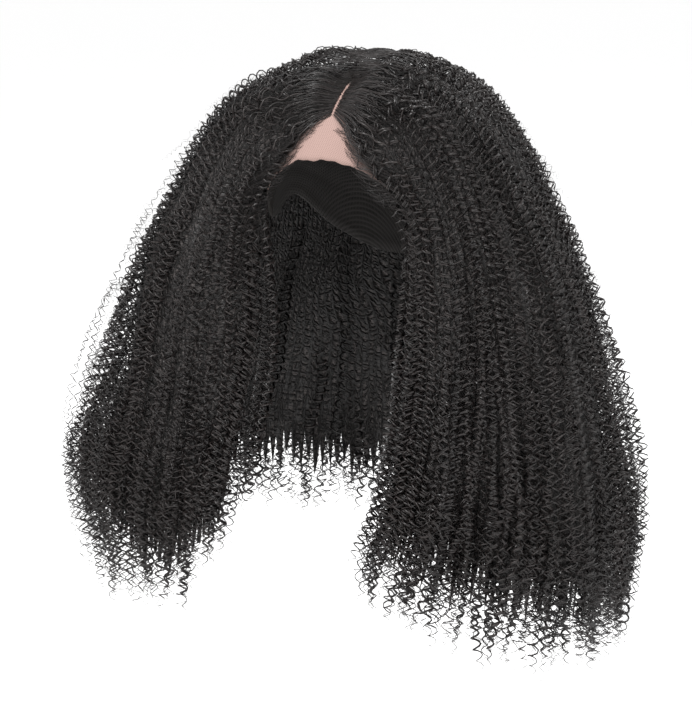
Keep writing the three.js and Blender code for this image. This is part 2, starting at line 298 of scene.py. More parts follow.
# The dense hair under the curls, a slab whose sides stand up in columns of ringlets
MASS_LAYERS = (0.06, 0.87)
MASS_START = 0.035
MASS_END = 0.95
MASS_RISE = 0.14  # over this share of the way down it comes up under the curls
MASS_ROOT_DEPTH = 0.8  # how far it lies under them at the root, as a layer
MASS_INSET = 0.03
MASS_FALL = 0.33  # how much further in it hangs on the way down
MASS_THIN_OVER = (0.55, MASS_END)  # where it thins towards its end
MASS_THIN_END = 0.6
MASS_FACE_OVER = (0, 0.14)  # where it thins towards the face
MASS_THIN_FACE = 0.5
MASS_COLUMNS = 82
MASS_ROWS = 37
RINGLETS = 72  # columns on one side
RINGLET_WIDTH = 7
RINGLET_PITCH = 8
COLUMN_WAVES = ((0.8, 14, 23), (0.4, 31, 11))  # how far the columns wander, and the rates over t and u
RELIEF_DEPTH = 2.6
RELIEF_LEVEL = 0.6  # the height on a column that lies in the slab's own layer
RELIEF_WAVE = (0.35, 37, 170)
RELIEF_OVER = (0.12, 0.32)
INNER_RELIEF = -0.5  # on the slab's inner side, times that on its outer side
HANG_OVER = (0.6, 0.93)  # where its ends begin to hang unevenly
HEM_WAVE = (0.008, 97)  # how far they differ, and the rate over u
TOOTH_WAVE = (0.012, 0.9)  # the same from one tooth of the end to the next
NOTCH_WAVE = (0.04, 2.3)

# Texture map of a panel: the dense hair below, and above it a cell for each strand
MASS_TOP = 0.29
STRANDS_BOTTOM = 0.3
CELLS_ACROSS = 3  # cells in a row, times the square root of their number
CELL_FILL = 0.9
CELL_END = ((0.45, 0.95), (0.4, 0.03))  # middle and reach of the strand's ends in its cell
SHEET_WIDTH = 0.46
OUTER_SHEET_LEFT = 0.52

# Looks: colours from dark to light, where along a pattern they start and end, and how the surface shines
NOISE_DETAIL = 2
HAIR_LOOK = {
    "name": "kinky_hair", "dark": (0.0028, 0.0022, 0.0021), "light": (0.025, 0.0195, 0.0185),
    "spread": (0.25, 0.8), "roughness": 0.36, "gloss": 0.42,
}
STREAK_STRETCH = (4, 0.3, 1)
STREAK_SHARE = 0.6
STRAND_SHARE = 0.5  # of the tint that each strand has to itself
# The dense hair under the curls. Its light colour is a painted highlight on the curl crests and the fine
# hairs; its dark colour is the hair's own near-black, which the gaps between columns keep
UNDER_LOOK = {
    "name": "under_hair", "dark": (0.003, 0.0026, 0.0025), "light": (0.13, 0.114, 0.11),
    "spread": (0.08, 0.9), "roughness": 0.45, "gloss": 0.35, "bump": 1, "depth": 0.003,
}
WANDER_SCALE = 0.14
SPECKLE_SCALE = 0.55
COLUMN_SHIFT = 9  # turns by which one column of curls may be ahead of another
COLUMN_SLANT = 2  # turns across a column
TURN_WANDER = 3
HAIR_LINES = 3  # fine hairs drawn in each turn
LINE_WANDER = 3
LINE_SHARE = 0.6
# The next values set the faint painted sheen along the fine hairs, then how narrow the painted highlight on
# each curl crest is, how it breaks into speckles and how much it adds to the bump
FUZZ_SHEEN = 0.5
PAINTED_SHINE_POWER = 1.6
PAINTED_SHINE_SPECKLE = 2
PAINTED_SHINE_RISE = 0.25
LACE_LOOK = {
    "name": "beige_lace", "dark": (0.24, 0.156, 0.132), "light": (0.375, 0.25, 0.22),
    "spread": (0.25, 0.8), "roughness": 0.8, "gloss": 0.5, "bump": 0.35, "depth": 0.0003, "pitch": 1.7,
}
KNOT_TINT = (0.02, 0.016, 0.014)
CAP_LOOK = {
    "name": "black_cap_net", "dark": (0.008, 0.0075, 0.007), "light": (0.042, 0.038, 0.036),
    "spread": (0.3, 0.7), "roughness": 0.85, "gloss": 0.5, "bump": 0.6, "depth": 0.0006, "pitch": 2.6,
}
THREAD_TURNS = (45, -45)
WAVE_RADIANS = 20  # the wave texture's radians over one unit

draw = np.random.default_rng(SEED)


# Curves and tables

def smooth(x, y, at):
    """Value at a place on a smooth curve through the points of a table."""
    x = np.asarray(x, float)
    y = np.asarray(y, float)
    k = np.arange(len(x))
    before = np.maximum(k - 1, 0)
    after = np.minimum(k + 1, len(x) - 1)
    slope = (y[after] - y[before]) / (x[after] - x[before])
    i = np.clip(np.searchsorted(x, at) - 1, 0, len(x) - 2)
    span = x[i + 1] - x[i]
    s = (at - x[i]) / span
    rise = y[i + 1] - y[i]
    leave = slope[i] * span - rise
    arrive = rise - slope[i + 1] * span
    return y[i] + rise * s + s * (1 - s) * (leave * (1 - s) + arrive * s)


def ease(x, start, end):
    """A smooth step from 0 at the start to 1 at the end."""
    x = np.clip((x - start) / (end - start), 0, 1)
    return x * x * (3 - 2 * x)


def between(low, high, share):
    return low + (high - low) * share


def unit(vectors):
    return vectors / np.maximum(np.linalg.norm(vectors, axis=-1, keepdims=True), TINY)


def square_to(along, normal):
    """The part of each normal that is square to a line, as a direction."""
    return unit(normal - along * np.sum(normal * along, axis=1, keepdims=True))


def curve_through(stations):
    """Points on the centripetal Catmull-Rom curve through some stations."""
    ends = np.vstack([2 * stations[0] - stations[1], stations, 2 * stations[-1] - stations[-2]])
    gap = np.sqrt(np.linalg.norm(np.diff(ends, axis=0), axis=1))
    s = np.linspace(0, 1, CURVE_STEPS, endpoint=False)[:, None]
    pieces = []
    for k in range(1, len(ends) - 2):
        a, b, c, d = ends[k - 1:k + 3]
        before, here, after = gap[k - 1:k + 2]
        leave = ((b - a) / before - (c - a) / (before + here) + (c - b) / here) * here
        arrive = ((c - b) / here - (d - b) / (here + after) + (d - c) / after) * here
        bend = 3 * (c - b) - 2 * leave - arrive
        twist = 2 * (b - c) + leave + arrive
        pieces.append(b + s * (leave + s * (bend + s * twist)))
    return np.vstack([*pieces, stations[-1:]])


def lengths_along(points):
    steps = np.linalg.norm(np.diff(points, axis=0), axis=1)
    return np.concatenate([[0], np.cumsum(steps)])


def at_lengths(points, lengths, at):
    """Points, or any vectors along a line, at some lengths along it."""
    return np.stack([np.interp(at, lengths, points[:, k]) for k in range(3)], axis=1)


# The space that the hair fills

def bearing(turn, radius, z):
    turn = math.radians(turn)
    return np.array((radius * math.sin(turn), -radius * math.cos(turn), z))


def head_height(x, y):
    return CROWN_HEIGHT * math.sqrt(1 - (x / HEAD_HALF_WIDTH) ** 2 - (y / HEAD_HALF_LENGTH) ** 2)


def guide_row(u, side):
    """The table's row at u, with the side's own length and swing."""
    row = {name: float(smooth(GUIDES["u"], values, u)) for name, values in GUIDES.items()}
    row["hem_z"] += side["rises"] * row["hem_rise"]
    swing = math.sin(u * math.pi) ** 2
    for level in ("ear_r", "jaw_r", "chest_r", "hem_r"):
        row[level] *= 1 + side["flare"] * swing
    return row


def outer_points(row):
    """Evenly spaced points of a guide on the hair's outer surface."""
    root = np.array((PART_HALF, row["part_y"], head_height(0, row["part_y"])))
    root[2] += ROOT_CLEARANCE + ROOT_THICKNESS
    crown = bearing(row["crown_turn"], row["crown_r"], row["crown_z"])
    lift = between(root, crown, LIFT_SHARE)
    lift[2] = head_height(lift[0], lift[1]) + row["lift"]
    chest_turn = between(row["jaw_turn"], row["hem_turn"], CHEST_SHARE)
    stations = np.array((
        root,
        lift,
        crown,
        bearing(row["ear_turn"], row["ear_r"], 0),
        bearing(row["jaw_turn"], row["jaw_r"], JAW_Z),
        bearing(chest_turn, row["chest_r"], CHEST_Z),
        bearing(row["hem_turn"], row["hem_r"], row["hem_z"]),
    ))
    points = curve_through(stations)
    lengths = lengths_along(points)
    return at_lengths(points, lengths, np.linspace(0, lengths[-1], GRID_T))


def inner_point(row, outer):
    """The point of the hair's inner surface behind a point of its outer surface."""
    wide = HEAD_HALF_WIDTH + ROOT_CLEARANCE
    long = HEAD_HALF_LENGTH + ROOT_CLEARANCE
    tall = CROWN_HEIGHT + ROOT_CLEARANCE
    x, y, z = outer
    if z >= 0:
        return outer / math.sqrt((x / wide) ** 2 + (y / long) ** 2 + (z / tall) ** 2)
    radius = math.hypot(x, y)
    heights = (row["hem_z"], CHEST_Z, JAW_Z, 0)
    radii = (
        row["hem_r"] - row["hem_depth"],
        row["chest_r"] - row["chest_depth"],
        row["jaw_r"] - row["jaw_depth"],
        radius / math.hypot(x / wide, y / long),
    )
    share = float(smooth(heights, radii, z)) / radius
    return np.array((x * share, y * share, z))


def make_space(side):
    """Grids over u and t of a side's outer and inner hair surfaces."""
    outer = np.zeros((GRID_U, GRID_T, 3))
    inner = np.zeros((GRID_U, GRID_T, 3))
    for i, u in enumerate(np.linspace(0, 1, GRID_U)):
        row = guide_row(u, side)
        outer[i] = outer_points(row)
        inner[i] = [inner_point(row, point) for point in outer[i]]
    outer[..., 0] *= side["mirror"]
    inner[..., 0] *= side["mirror"]
    length = lengths_along(outer[GRID_U // 2])[-1]
    return {"outer": outer, "inner": inner, "length": length, "mirror": side["mirror"]}


def on_grid(grid, u, t):
    """Values of a grid at some places, straight between its points and on past its sides."""
    x = np.asarray(u) * (GRID_U - 1)
    y = np.clip(t, 0, 1) * (GRID_T - 1)
    i = np.clip(x.astype(int), 0, GRID_U - 2)
    j = np.minimum(y.astype(int), GRID_T - 2)
    a = (x - i)[..., None]
    b = (y - j)[..., None]
    near = between(grid[i, j], grid[i, j + 1], b)
    far = between(grid[i + 1, j], grid[i + 1, j + 1], b)
    return between(near, far, a)


def hair_points(space, u, t, layer):
    """Points in the hair and the outward direction at each; past the hem they hang straight down."""
    outer = on_grid(space["outer"], u, t)
    inner = on_grid(space["inner"], u, t)
    points = between(inner, outer, layer[..., None])
    points[..., 2] -= np.maximum(t - 1, 0) * space["length"]
    return points, unit(outer - inner)


def fallen(t):
    """How far the hair has come in from the outline, from 0 up at the jaw to 1 near the ends."""
    return ease(t, *FALL_OVER)


# Strands

def tube_rings(middle, normal, half, sides):
    """Rings of points round a line, or pairs across it, with a normal and a half thickness at each point."""
    along = unit(np.gradient(middle, axis=0))
    normal = square_to(along, normal)
    across = np.cross(along, normal)
    corners = (np.arange(sides) / sides + 1 / 4) * TURN
    out = normal[:, None] * np.cos(corners)[None, :, None]
    out = out + across[:, None] * np.sin(corners)[None, :, None]
    return middle[:, None] + out * half[:, None, None]


def helix_steps(total, curl):
    """Lengths along the axis of a helix's points, and the turns made up to each, looser near the root."""
    fine = np.linspace(0, total, max(int(total), LEAST_POINTS))
    grown = ease(fine, curl["straight"], curl["straight"] + curl["ramp"])
    drift = 1 + PITCH_DRIFT * curl["uneven"] * np.sin(TURN * fine / curl["beat"] + curl["phase"])
    pitch = between(WAVE_PITCH, curl["pitch"], grown) * drift
    turns = np.concatenate([[0], np.cumsum(np.diff(fine) / pitch[1:])])
    count = max(int(turns[-1] * curl["segments"]), LEAST_SEGMENTS)
    turned = np.linspace(0, turns[-1], count + 1)
    return np.interp(turned, turns, fine), turned


def curl_strand(axis, outward, curl):
    """Rings of a strand that follows an axis in a helix, straight at first and then curling tighter."""
    lengths = lengths_along(axis)
    total = lengths[-1]
    s, turned = helix_steps(total, curl)
    middle = at_lengths(axis, lengths, s)
    along = unit(np.gradient(middle, axis=0))
    normal = square_to(along, at_lengths(outward, lengths, s))
    across = np.cross(along, normal)

    grown = ease(s, curl["straight"], curl["straight"] + curl["ramp"] / RADIUS_LEAD)
    tip = ease(total - s, 0, TIP_LENGTH)
    uneven = 1 + curl["uneven"] * np.sin(TURN * s / (RADIUS_BEAT * curl["beat"]) + 2 * curl["phase"])
    radius = curl["radius"] * grown * uneven * between(TIP_RADIUS, 1, tip)
    angle = curl["hand"] * TURN * turned + curl["phase"] + curl["lag"]
    radial = np.cos(angle)[:, None] * normal + np.sin(angle)[:, None] * across
    half = curl["thickness"] / 2 * between(TIP_THICKNESS, 1, tip)
    half = half * between(ROOT_THINNESS, 1, ease(s, 0, ROOT_GROWTH))
    return tube_rings(middle + radial * radius[:, None], radial, half, curl["sides"])


def on_lace(points):
    """The points just proud of the lace under some points close to it."""
    size = np.array((HEAD_HALF_WIDTH, HEAD_HALF_LENGTH, CROWN_HEIGHT)) + LACE_WALL + LACE_PROUD
    return points / np.linalg.norm(points / size, axis=1, keepdims=True)


def to_roots(space, u, points, outward):
    """Brings the start of a line down to the lace at the parting, or over the middle where that is closed."""
    near = (1 - ease(lengths_along(points), 0, ROOT_RISE))[:, None]
    rooted = on_lace(points)
    rooted[:, 0] -= space["mirror"] * draw.uniform(*ROOT_CREEP)
    over = points + outward * PART_HUMP
    over[:, 0] -= space["mirror"] * PART_CROSS
    return between(points, between(rooted, over, ease(u, *PART_CLOSED_OVER)), near)


def ringlet_axis(space, family, u):
    """The line that a ringlet follows, and the outward direction along it."""
    start = draw.uniform(*family["start"])
    end = 1 + draw.uniform(*family["past"]) / space["length"]
    layer = draw.uniform(*family["layer"])
    rate = draw.uniform(*SWAY_RATE, 2)
    phase = draw.uniform(0, TURN, 2)
    t = np.linspace(start, end, AXIS_POINTS)
    share = (t - start) / (end - start)
    sway = np.sin(TURN * share * rate[0] + phase[0]) * ease(share, *SWAY_OVER)
    path = np.minimum(u + SWAY_U * sway, 1)
    depth = layer + SWAY_LAYER * np.sin(TURN * share * rate[1] + phase[1]) - family["fall"] * fallen(t)
    if start > 0 and layer > EMERGE_LAYER:
        depth = depth - EMERGE_DEPTH * (1 - ease(share, *EMERGE_OVER))
    points, outward = hair_points(space, path, t, depth)
    if start == 0:
        points = to_roots(space, u, points, outward)
    return points, outward


def make_ringlet(space, family, u):
    """One ringlet: a curled strand with a few finer hairs that curl beside it."""
    axis, outward = ringlet_axis(space, family, u)
    curl = {
        "radius": draw.uniform(*family["radius"]),
        "pitch": draw.uniform(*family["pitch"]),
        "hand": draw.choice((-1, 1)),
        "straight": family["straight"] * draw.uniform(*STRAIGHT_SPREAD),
        "ramp": family["ramp"] * draw.uniform(*RAMP_SPREAD),
        "beat": draw.uniform(*BEAT),
        "phase": draw.uniform(0, TURN),
        "lag": 0,
        "thickness": draw.uniform(*family["thickness"]),
        "segments": family["segments"],
        "sides": family["sides"],
        "uneven": family["uneven"],
    }
    strands = [curl_strand(axis, outward, curl)]
    for _ in range(draw.poisson(family["hairs"])):
        finer = {**curl, "lag": draw.uniform(*HAIR_LAG), "sides": FLAT}
        finer["thickness"] = draw.uniform(*HAIR_THICKNESS)
        finer["radius"] = curl["radius"] * draw.uniform(*HAIR_RADIUS)
        strands.append(curl_strand(axis, outward, finer))
    return strands


def tapered(thickness, share):
    """Half the thickness along a straight hair, which is thinner at its ends."""
    return thickness / 2 * between(TAPER_THICKNESS, 1, np.sin(math.pi * np.clip(share, *TAPER_OVER)))


def make_combed(space, u):
    """A straight hair from the parting that sinks into the curls."""
    t = np.linspace(0, draw.uniform(*COMBED_REACH), COMBED_POINTS)
    share = np.linspace(0, 1, COMBED_POINTS)
    layer = draw.uniform(*COMBED_LAYER) - COMBED_SINK * ease(share, *COMBED_SINK_OVER)
    sway = np.sin(share * draw.uniform(*COMBED_WAVE) + draw.uniform(0, TURN)) * ease(share, *COMBED_WAVE_OVER)
    path = u + draw.normal(0, COMBED_SPREAD_U) * share + COMBED_WAVE_U * sway
    points, outward = hair_points(space, np.minimum(path, 1), t, layer)
    points = to_roots(space, u, points, outward)
    return tube_rings(points, outward, tapered(draw.uniform(*COMBED_THICKNESS), share), TUBE)


def make_hairline(space):
    """A short hair that starts on the lace in front of the hairline and is swept back into the hair."""
    root = draw.uniform(*HAIRLINE_T)
    share = np.linspace(0, 1, COMBED_POINTS)
    t = root + draw.uniform(*HAIRLINE_REACH) * share
    u = draw.uniform(*HAIRLINE_SWEEP_U) * share ** HAIRLINE_BEND
    points, outward = hair_points(space, u, t, np.full(COMBED_POINTS, draw.uniform(*HAIRLINE_LAYER)))
    drop = draw.uniform(*HAIRLINE_DROP) * (1 - ease(share, *HAIRLINE_DROP_OVER))
    points = points + np.array(HAIRLINE_DOWN) * drop[:, None]
    points = between(on_lace(points), points, ease(share, *HAIRLINE_HELD_OVER)[:, None])
    return tube_rings(points, outward, tapered(draw.uniform(*HAIRLINE_THICKNESS), share), TUBE)


def make_frizz(space, u):
    """A short thin hair that stands off the outer curls."""
    start = draw.uniform(*(FRIZZ_HEM_T if draw.random() < FRIZZ_AT_HEM else FRIZZ_UPPER_T))
    share = np.linspace(0, 1, FRIZZ_POINTS)
    t = start + share * draw.uniform(*FRIZZ_LENGTH) / space["length"]
    path = np.clip(u + draw.uniform(*FRIZZ_DRIFT_U) * share, 0, 1)
    points, outward = hair_points(space, path, t, np.full(FRIZZ_POINTS, draw.uniform(*FRIZZ_LAYER)))
    stand = FRIZZ_STAND * draw.random() ** 2 * ease(start, *FRIZZ_STAND_OVER)
    points = points + outward * (share * stand)[:, None]
    return curl_strand(points, outward, {
        "radius": draw.uniform(*FRIZZ_RADIUS),
        "pitch": draw.uniform(*FRIZZ_PITCH),
        "hand": draw.choice((-1, 1)),
        "straight": 0,
        "ramp": FRIZZ_RAMP,
        "beat": FRIZZ_BEAT,
        "phase": draw.uniform(0, TURN),
        "lag": 0,
        "thickness": draw.uniform(*FRIZZ_THICKNESS),
        "segments": FRIZZ_SEGMENTS,
        "sides": FLAT,
        "uneven": FRIZZ_UNEVEN,
    })


def places_in(low, high, count):
    """Places spread evenly over a stretch, each a little off."""
    step = (high - low) / count
    return low + step * (np.arange(count) + draw.uniform(*PLACE_IN_STEP, count))


def make_strands(space):
    """All strands of one side, as pairs of a place in u and a strand's rings."""
    strands = []
    for family in FAMILIES.values():
        for u in places_in(*family["u"], family["count"]):
            strands += [(u, rings) for rings in make_ringlet(space, family, u)]
    strands += [(u, make_combed(space, u)) for u in places_in(0, 1, COMBED_COUNT)]
    strands += [(0, make_hairline(space)) for _ in range(HAIRLINE_COUNT)]
    strands += [(u, make_frizz(space, u)) for u in places_in(0, 1, FRIZZ_COUNT)]
    return strands


# Meshes

class Builder:
    """Gathers points, faces, looks and texture places for one mesh."""

    def __init__(self):
        self.points = []
        self.faces = []
        self.looks = []
        self.places = []
        self.fibres = []
        self.count = 0

    def add(self, points, faces, look, places, fibres):
        """Faces of one size, with their place in the texture and along the hair at each corner."""
        self.points.append(points)
        self.faces.append(faces + self.count)
        self.looks.append(np.full(len(faces), look))
        self.places.append(places.reshape(-1, 2))
        self.fibres.append(fibres.reshape(-1, 2))
        self.count += len(points)

    def mesh(self, name):
        points = np.vstack(self.points) * MM
        corners = np.concatenate([faces.ravel() for faces in self.faces])
        sizes = np.concatenate([np.full(len(faces), faces.shape[1]) for faces in self.faces])
        mesh = bpy.data.meshes.new(name)
        mesh.vertices.add(len(points))
        mesh.vertices.foreach_set("co", points.astype(np.float32).ravel())
        mesh.loops.add(len(corners))
        mesh.loops.foreach_set("vertex_index", corners.astype(np.int32))
        mesh.polygons.add(len(sizes))
        mesh.polygons.foreach_set("loop_start", (np.cumsum(sizes) - sizes).astype(np.int32))
        mesh.polygons.foreach_set("material_index", np.concatenate(self.looks).astype(np.int32))
        for map_name, values in (("OFBake", self.places), ("fibre", self.fibres)):
            layer = mesh.uv_layers.new(name=map_name)
            layer.data.foreach_set("uv", np.vstack(values).astype(np.float32).ravel())
        mesh.update(calc_edges=True)
        mesh.shade_smooth()
        return mesh


def add_ends(builder, count, sides, cell, number):
    """Closes the two ends of the tube that was added last."""
    left, bottom, width, height = cell
    ring = np.arange(sides) - builder.count
    ends = np.stack([builder.count - count * sides + ring[::-1], builder.count - sides + ring])
    turn = np.arange(sides) / sides * TURN
    middle, reach = np.array(CELL_END)
    fan = middle + reach * np.stack([np.cos(turn), np.sin(turn)], axis=1)
    places = np.array((left, bottom)) + fan * (width, height)
    builder.add(np.zeros((0, 3)), ends, 0, np.stack([places] * 2), np.full((2, sides, 2), number + 1 / 2))


def add_strand(builder, rings, cell, number):
    """A closed tube over some rings, or an open strip over pairs.

    Its texture lies in a cell, which is given as left, bottom, width and height.
    """
    count, sides = rings.shape[:2]
    around = 1 if sides == FLAT else sides
    k, j = np.meshgrid(np.arange(count - 1), np.arange(around), indexing="ij")
    k = k.ravel()
    j = j.ravel()
    after = (j + 1) % sides
    quads = np.stack([
        k * sides + j,
        k * sides + after,
        (k + 1) * sides + after,
        (k + 1) * sides + j,
    ], axis=1)
    corner_x = np.stack([j, j + 1, j + 1, j], axis=1) / around * CELL_FILL
    corner_k = np.stack([k, k, k + 1, k + 1], axis=1)
    corner_y = corner_k / (count - 1) * CELL_FILL
    left, bottom, width, height = cell
    places = np.stack([left + width * corner_x, bottom + height * corner_y], axis=-1)
    along = lengths_along(rings.mean(axis=1))
    fibres = np.stack([number + corner_x, along[corner_k]], axis=-1)
    builder.add(rings.reshape(-1, 3), quads, 0, places, fibres)
    if sides != FLAT:
        add_ends(builder, count, sides, cell, number)


def mass_sheet(space, u, t, layer, relief):
    """One side of the dense hair, which thins towards the face, the ends and the root."""
    middle = sum(MASS_LAYERS) / 2
    beside_face = 1 - ease(u, *MASS_FACE_OVER)
    towards_end = ease(t, *MASS_THIN_OVER)
    thin = np.maximum(beside_face * MASS_THIN_FACE, towards_end * MASS_THIN_END)
    towards_root = 1 - ease(t, MASS_START, MASS_START + MASS_RISE)
    behind = MASS_ROOT_DEPTH * towards_root + MASS_FALL * fallen(t)
    depth = between(layer, middle, thin) - behind * (layer > middle)
    points, outward = hair_points(space, u, t, depth)
    return points + outward * relief[..., None]


def wave(height, rate, at):
    return height * np.sin(rate * at)


def mass_columns(u, t):
    """Which column of ringlets each place is in, with the share of the way across it."""
    column = u * RINGLETS
    for height, down, across in COLUMN_WAVES:
        column = column + height * np.sin(t * down + u * across)
    return column


def mass_relief(u, t, column):
    """How far the dense hair stands out in columns, more from the crown down."""
    height, down, across = RELIEF_WAVE
    relief = np.abs(np.sin(math.pi * column)) - RELIEF_LEVEL + height * np.sin(t * down + u * across)
    return relief * RELIEF_DEPTH * ease(t, *RELIEF_OVER)


def mass_hang(u, t):
    """The place in t of each point of the dense hair, with uneven teeth at its end."""
    tooth = np.arange(MASS_COLUMNS)
    uneven = wave(*HEM_WAVE, u) + wave(*TOOTH_WAVE, tooth)
    notch = NOTCH_WAVE[0] + wave(*NOTCH_WAVE, tooth)
    return t + (uneven - notch) * ease(t, *HANG_OVER)


def mass_faces(mirror):
    """Faces of a closed slab of two sheets, the inner one first, with the slab's rim."""
    i, j = np.meshgrid(np.arange(MASS_ROWS - 1), np.arange(MASS_COLUMNS - 1), indexing="ij")
    a = (i * MASS_COLUMNS + j).ravel()
    under = MASS_ROWS * MASS_COLUMNS
    face = np.stack([a, a + MASS_COLUMNS, a + MASS_COLUMNS + 1, a + 1], axis=1)
    border = np.concatenate([
        np.arange(MASS_COLUMNS),
        np.arange(2, MASS_ROWS) * MASS_COLUMNS - 1,
        under - 1 - np.arange(MASS_COLUMNS),
        np.arange(MASS_ROWS - 2, 0, -1) * MASS_COLUMNS,
    ])
    following = np.roll(border, -1)
    rim = np.stack([border, following, following + under, border + under], axis=1)
    faces = np.concatenate([face + under, face[:, ::-1], rim])
    return faces[:, ::-1] if mirror > 0 else faces


def mass_places(u, t):
    """Places of the two sheets' points in the texture, side by side."""
    flat = np.stack([u, t], axis=-1).reshape(-1, 2)
    flat = (flat - flat.min(axis=0)) / np.ptp(flat, axis=0) * (SHEET_WIDTH, MASS_TOP)
    return np.concatenate([flat, flat + (OUTER_SHEET_LEFT, 0)])


def add_mass(builder, space, panel):
    """The dense hair under the curls: a closed slab whose sides stand up in columns."""
    low = panel["from"] + (MASS_INSET if panel["from"] == 0 else 0)
    t, u = np.meshgrid(
        np.linspace(MASS_START, MASS_END, MASS_ROWS),
        np.linspace(low, panel["to"], MASS_COLUMNS),
        indexing="ij",
    )
    column = mass_columns(u, t)
    relief = mass_relief(u, t, column)
    hang = mass_hang(u, t)
    inner = mass_sheet(space, u, hang, MASS_LAYERS[0], INNER_RELIEF * relief)
    outer = mass_sheet(space, u, hang, MASS_LAYERS[1], relief)
    points = np.concatenate([inner.reshape(-1, 3), outer.reshape(-1, 3)])
    faces = mass_faces(space["mirror"])
    fibres = np.stack([column * RINGLET_WIDTH, hang * space["length"]], axis=-1).reshape(-1, 2)
    builder.add(points, faces, 1, mass_places(u, t)[faces], np.concatenate([fibres, fibres])[faces])


def add_object(name, data):
    """A new object in the scene."""
    obj = bpy.data.objects.new(name, data)
    bpy.context.scene.collection.objects.link(obj)
    return obj


def add_piece(name, mesh, materials, node):
    """A new piece of the wig, which stands for a node."""
    obj = add_object(name, mesh)
    for material in materials:
        mesh.materials.append(material)
    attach(obj, "root")
    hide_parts(node)
    return obj


def make_hair(side, space, materials):
    """The three panels of curls on one side."""
    strands = make_strands(space)
    for panel in PANELS:
        own = [rings for u, rings in strands if panel["from"] <= max(u, 0) < panel["to"]]
        builder = Builder()
        across = math.ceil(math.sqrt(len(own)) * CELLS_ACROSS)
        height = (1 - STRANDS_BOTTOM) / math.ceil(len(own) / across)
        for k, rings in enumerate(own):
            cell = (k % across / across, STRANDS_BOTTOM + k // across * height, 1 / across, height)
            add_strand(builder, rings, cell, k)
        add_mass(builder, space, panel)
        node = f"{panel['name']}_{side['name']}"
        add_piece(f"{node}_curls", builder.mesh(f"{node}_curls"), materials, node)


# Cap and lace

def rim_climb(turn, ripple):
    """How far up the head the lower edge is at a bearing, as an angle."""
    edge = float(smooth(RIM["turn"], RIM["height"], min(turn, 360 - turn)))
    angle = math.radians(turn)
    edge += ripple * sum(height * math.sin(waves * angle + start) for waves, height, start in RAW_WAVES)
    return math.asin(edge / (CROWN_HEIGHT if edge > 0 else NAPE_DEPTH))


def dome_point(angle, climb, grow):
    """A point of the head's surface, grown outwards, and its place on the net's map in millimetres."""
    height = CROWN_HEIGHT + grow if climb > 0 else NAPE_DEPTH
    level = math.cos(climb)
    point = (
        (HEAD_HALF_WIDTH + grow) * level * math.sin(angle) * MM,
        -(HEAD_HALF_LENGTH + grow) * level * math.cos(angle) * MM,
        height * math.sin(climb) * MM,
    )
    reach = (math.pi / 2 - climb) * CROWN_HEIGHT
    return point, (reach * math.sin(angle), -reach * math.cos(angle))


def dome_mesh(wall, ripple, weft_rise):
    """The head's surface from the rim to the crown, with a map in millimetres for the net."""
    bm = bmesh.new()
    weave = bm.loops.layers.uv.new("weave")
    rows = []
    flat = {}
    for i in range(DOME_ROWS):
        grow = wall - weft_rise * (i % WEFT_ROWS == 0)
        ring = []
        for j in range(DOME_COLUMNS):
            turn = j / DOME_COLUMNS * 360
            rim = rim_climb(turn, ripple if i == 0 else 0)
            point, place = dome_point(math.radians(turn), between(rim, math.pi / 2, i / DOME_ROWS), grow)
            vert = bm.verts.new(point)
            flat[vert] = place
            ring.append(vert)
        rows.append(ring)
    pole = bm.verts.new((0, 0, (CROWN_HEIGHT + wall) * MM))
    flat[pole] = (0, 0)
    for i in range(DOME_ROWS):
        for j in range(DOME_COLUMNS):
            after = (j + 1) % DOME_COLUMNS
            above = (rows[i + 1][after], rows[i + 1][j]) if i + 1 < DOME_ROWS else (pole,)
            bm.faces.new((rows[i][j], rows[i][after], *above))
    for face in bm.faces:
        face.smooth = True
        for loop in face.loops:
            loop[weave].uv = flat[loop.vert]
    return bm


def cut_dome(bm, keep_front):
    """Keeps what lies in front of the lace seam, or behind it."""
    lean = math.radians(SEAM_LEAN)
    bmesh.ops.bisect_plane(
        bm,
        geom=bm.verts[:] + bm.edges[:] + bm.faces[:],
        plane_co=(0, SEAM_FRONT_Y * MM, 0),
        plane_no=(0, -math.cos(lean), math.sin(lean)),
        clear_inner=keep_front,
        clear_outer=not keep_front,
    )


def mark_knots(bm, space):
    """Writes how thickly the lace is knotted with hair: fully behind the hairline, not in front of it."""
    knots = bm.verts.layers.float.new("knots")
    line = space["inner"][0, :GRID_T // 2]
    for vert in bm.verts:
        x, y, _ = vert.co / MM
        edge = np.interp(abs(x), np.abs(line[:, 0]), line[:, 1])
        in_part = abs(x) < PART_BARE and y < PART_BACK_Y
        vert[knots] = 0 if in_part else float(ease(y, edge, edge + KNOT_FADE))


def make_dome_piece(piece, material, space):
    """The lace or the cap, as a net with a wall."""
    bm = dome_mesh(piece["wall"], piece["ripple"], piece["weft_rise"])
    cut_dome(bm, piece["front"])
    if piece["front"]:
        mark_knots(bm, space)
    mesh = bpy.data.meshes.new(piece["name"])
    bm.to_mesh(mesh)
    bm.free()
    obj = add_piece(piece["name"], mesh, (material,), piece["node"])
    thick = obj.modifiers.new("thickness", "SOLIDIFY")
    thick.thickness = piece["wall"] * MM
    thick.offset = -1


# Materials

